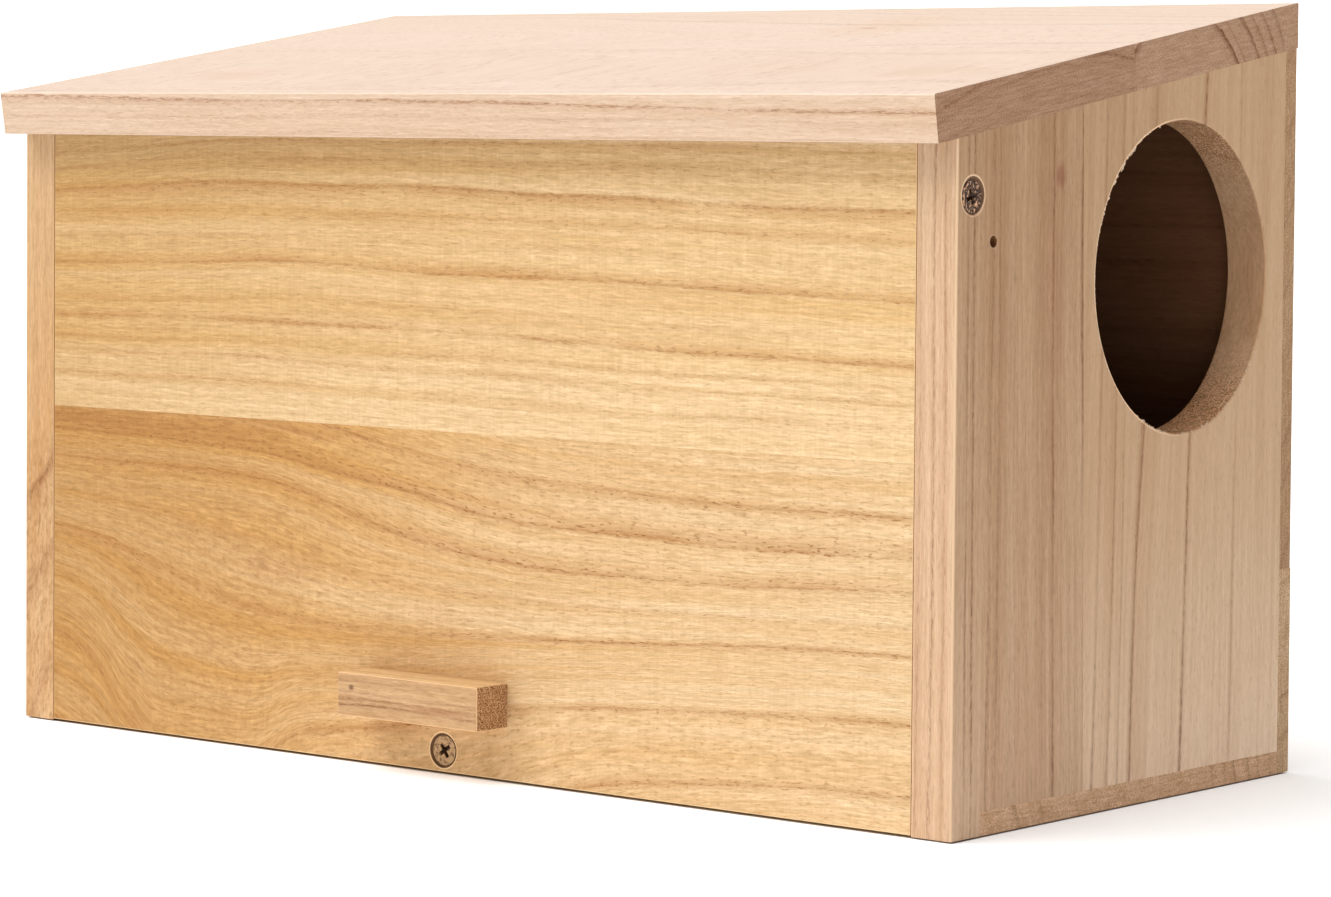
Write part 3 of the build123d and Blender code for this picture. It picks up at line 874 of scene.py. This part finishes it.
for board_name, board in BOARDS.items():
    finish_node(board_name, wood("wood_" + board_name, board))

lock_steel = steel(
    "lock_screw_steel", srgb(192, 158, 116), srgb(124, 92, 60), rough=0.42, grime=0.35,
    face=Vector((0, lock_low.y, 0)), axis=(0, -1, 0),
)
finish_node("lock_screw", lock_steel)
for side, way in (("right", 1), ("left", -1)):
    pivot_steel = steel(
        f"pivot_{side}_steel", srgb(236, 184, 142), srgb(66, 42, 28), rough=0.42, grime=0.68,
        face=Vector((way * pivot_high.x, 0, 0)), axis=(way, 0, 0),
    )
    finish_node(f"pivot_screw_{side}", pivot_steel)
brad_steel = steel("brad_steel", srgb(170, 166, 160), srgb(96, 90, 84), rough=0.3, grime=0.5)
for brad_name in ("floor_brads", "back_brads", "handle_brads"):
    finish_node(brad_name, brad_steel)


# ---- fibres torn at the rim of the entrance hole ----
def mesh_piece(name, vertices, faces, material, body):
    """A mesh of the given vertices and faces that rides on a CAD body."""
    mesh = bpy.data.meshes.new(name)
    mesh.from_pydata(vertices, [], faces)
    mesh.validate()
    mesh.materials.append(material)
    piece = bpy.data.objects.new(name, mesh)
    bpy.context.scene.collection.objects.link(piece)
    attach(piece, body)


def sliver(root, tip, width, depth, vertices, faces):
    """Adds a flat fibre that tapers from its root in the wood to its tip, wide in Y and deep in X."""
    start = len(vertices)
    middle = root.lerp(tip, 0.55)
    for place, share in ((root, 1.0), (middle, 0.7)):
        for side, back in ((-1, 0), (1, 0), (1, -1), (-1, -1)):
            vertices.append(place + Vector((back * depth * share, side * width * share / 2, 0)))
    vertices.append(tip + Vector((-depth * 0.3, 0, 0)))
    for i in range(4):
        j = (i + 1) % 4
        faces.append((start + i, start + j, start + 4 + j, start + 4 + i))
        faces.append((start + 4 + i, start + 4 + j, start + 8))
    faces.append((start + 3, start + 2, start + 1, start))


FIBRE_ROOT = 0.15           # how far outside the rim a fibre is rooted, in mm
FIBRE_SUNK = 0.03           # how far its root lies below the board's face
TORN_ARCS = (
    # from and to (degrees round the rim), how many fibres, shortest and longest (mm)
    (124, 136, 22, 0.1, 1.0), (139, 144, 9, 0.2, 1.5), (147, 160, 20, 0.1, 1.2),
    (100, 124, 8, 0.05, 0.3),
    (160, 196, 16, 0.05, 0.25), (238, 262, 22, 0.1, 0.5), (262, 330, 34, 0.05, 0.35),
)


def torn_rim():
    """Short upright fibres left standing along the upper left and the foot of the hole's rim."""
    draw = random.Random(62)
    centre = Vector(mounts["entrance"]["pos_m"])
    vertices, faces = [], []
    for low, high, count, shortest, longest in TORN_ARCS:
        for _ in range(count):
            angle = math.radians(draw.uniform(low, high))
            out = Vector((0, math.cos(angle), math.sin(angle)))
            rim = centre + out * (HOLE_RADIUS + FIBRE_ROOT) * MM
            rim.x = right_high.x - FIBRE_SUNK * MM
            length = (shortest + (longest - shortest) * draw.random() ** 3) * MM
            inward = -1 if out.z > 0 else 1
            tip = rim - out * (0.15 + 0.2 * draw.random()) * MM
            tip += Vector((-draw.uniform(0, 0.3) * MM, draw.uniform(-0.12, 0.12) * MM, inward * length))
            sliver(rim, tip, draw.uniform(0.2, 0.8) * MM, draw.uniform(0.2, 0.5) * MM, vertices, faces)
    return vertices, faces


rim_vertices, rim_faces = torn_rim()
fuzz = Board(
    axes="zyx", anchor=RIGHT_FRONT.anchor, into_sign=-1, seed=77.0, lines=RIGHT_REAR.lines,
    pale=srgb(240, 214, 186), warm=srgb(222, 188, 154), dark=srgb(160, 116, 80),
)
fuzz_wood = wood("wood_torn_fibres", fuzz)
mesh_piece("entrance_torn_fibres", rim_vertices, rim_faces, fuzz_wood, "carcass")


# ---- studio ----
STUDIO_SIZE = 200           # metres: the floor runs out of sight
PAPER_WHITE = (0.88, 0.88, 0.88, 1.0)
PAPER_GLOW = 0.34           # lifts the floor to white, except under the box
SHADOW_SIDE = 0.3 * MM      # how sharply the glow stops under the box's ends and back
SHADOW_FRONT = 1.5 * MM     # and under its door
FILL_LEFT, FILL_RIGHT = 0.72, 0.125     # light from the surround on each side
BACKDROP_GLOW = 1.2         # makes the surround plain white in the picture
KEY_STRENGTH = 2.88
KEY_WIDTH = math.radians(60)
KEY_FROM = Vector((-0.30, -0.34, 0.90))
CLIP_START, CLIP_END = 0.05, 200        # metres


def paper_floor():
    """A white floor that runs out of sight and glows faintly, except under the box."""
    bpy.ops.mesh.primitive_plane_add(size=STUDIO_SIZE, location=(0, 0, -FLOOR_DROP))
    floor = bpy.context.object
    floor.name = "studio_floor"
    paper = bpy.data.materials.new("studio_paper")
    paper.use_nodes = True
    g = Nodes(paper.node_tree)
    place = g.add("ShaderNodeSeparateXYZ")
    g.feed(place.inputs[0], g.add("ShaderNodeTexCoord").outputs["Object"])
    sideways = g.math("ABSOLUTE", place.outputs["X"])
    under = g.smooth(sideways, right_high.x, right_high.x - SHADOW_SIDE)
    under = g.times(under, g.smooth(place.outputs["Y"], right_low.y, right_low.y + SHADOW_FRONT))
    under = g.times(under, g.smooth(place.outputs["Y"], back_high.y, back_high.y - SHADOW_SIDE))
    shader = paper.node_tree.nodes["Principled BSDF"]
    shader.inputs["Base Color"].default_value = PAPER_WHITE
    shader.inputs["Roughness"].default_value = 0.9
    shader.inputs["Specular IOR Level"].default_value = 0.1
    shader.inputs["Emission Color"].default_value = (1, 1, 1, 1)
    g.feed(shader.inputs["Emission Strength"], g.math("MULTIPLY_ADD", under, -PAPER_GLOW, PAPER_GLOW))
    floor.data.materials.append(paper)


def surround():
    """A plain white surround that lights the box more from its left than from its right."""
    world = bpy.data.worlds.new("studio_surround")
    bpy.context.scene.world = world
    world.use_nodes = True
    g = Nodes(world.node_tree)
    background = world.node_tree.nodes["Background"]
    background.inputs["Color"].default_value = (1, 1, 1, 1)
    seen = g.add("ShaderNodeLightPath").outputs["Is Camera Ray"]
    toward = g.add("ShaderNodeSeparateXYZ")
    g.feed(toward.inputs[0], g.add("ShaderNodeTexCoord").outputs["Generated"])
    fill = g.remap(toward.outputs["X"], -1, 1, FILL_LEFT, FILL_RIGHT)
    g.feed(background.inputs["Strength"], g.math("MULTIPLY_ADD", seen, BACKDROP_GLOW, fill))


def key_light():
    """One broad soft light from above the box's front left."""
    sun = bpy.data.lights.new("key_light", "SUN")
    sun.energy = KEY_STRENGTH
    sun.angle = KEY_WIDTH
    key = bpy.data.objects.new("key_light", sun)
    bpy.context.scene.collection.objects.link(key)
    key.rotation_mode = "QUATERNION"
    key.rotation_quaternion = KEY_FROM.to_track_quat("Z", "Y")


def camera():
    """The camera, matched to the view."""
    data = bpy.data.cameras.new("camera")
    data.sensor_width = CAMERA_SENSOR
    data.lens = CAMERA_LENS
    data.shift_y = CAMERA_SHIFT_Y
    data.clip_start = CLIP_START
    data.clip_end = CLIP_END
    eye = bpy.data.objects.new("camera", data)
    bpy.context.scene.collection.objects.link(eye)
    turn = Matrix.Rotation(math.radians(CAMERA_TURN), 4, "Z")
    dip = Matrix.Rotation(math.radians(90 - CAMERA_DIP), 4, "X")
    roll = Matrix.Rotation(math.radians(CAMERA_ROLL), 4, "Z")
    eye.matrix_world = Matrix.Translation(CAMERA_PLACE) @ turn @ dip @ roll
    bpy.context.scene.camera = eye


paper_floor()
surround()
key_light()
camera()
bpy.context.scene.view_settings.view_transform = "Standard"
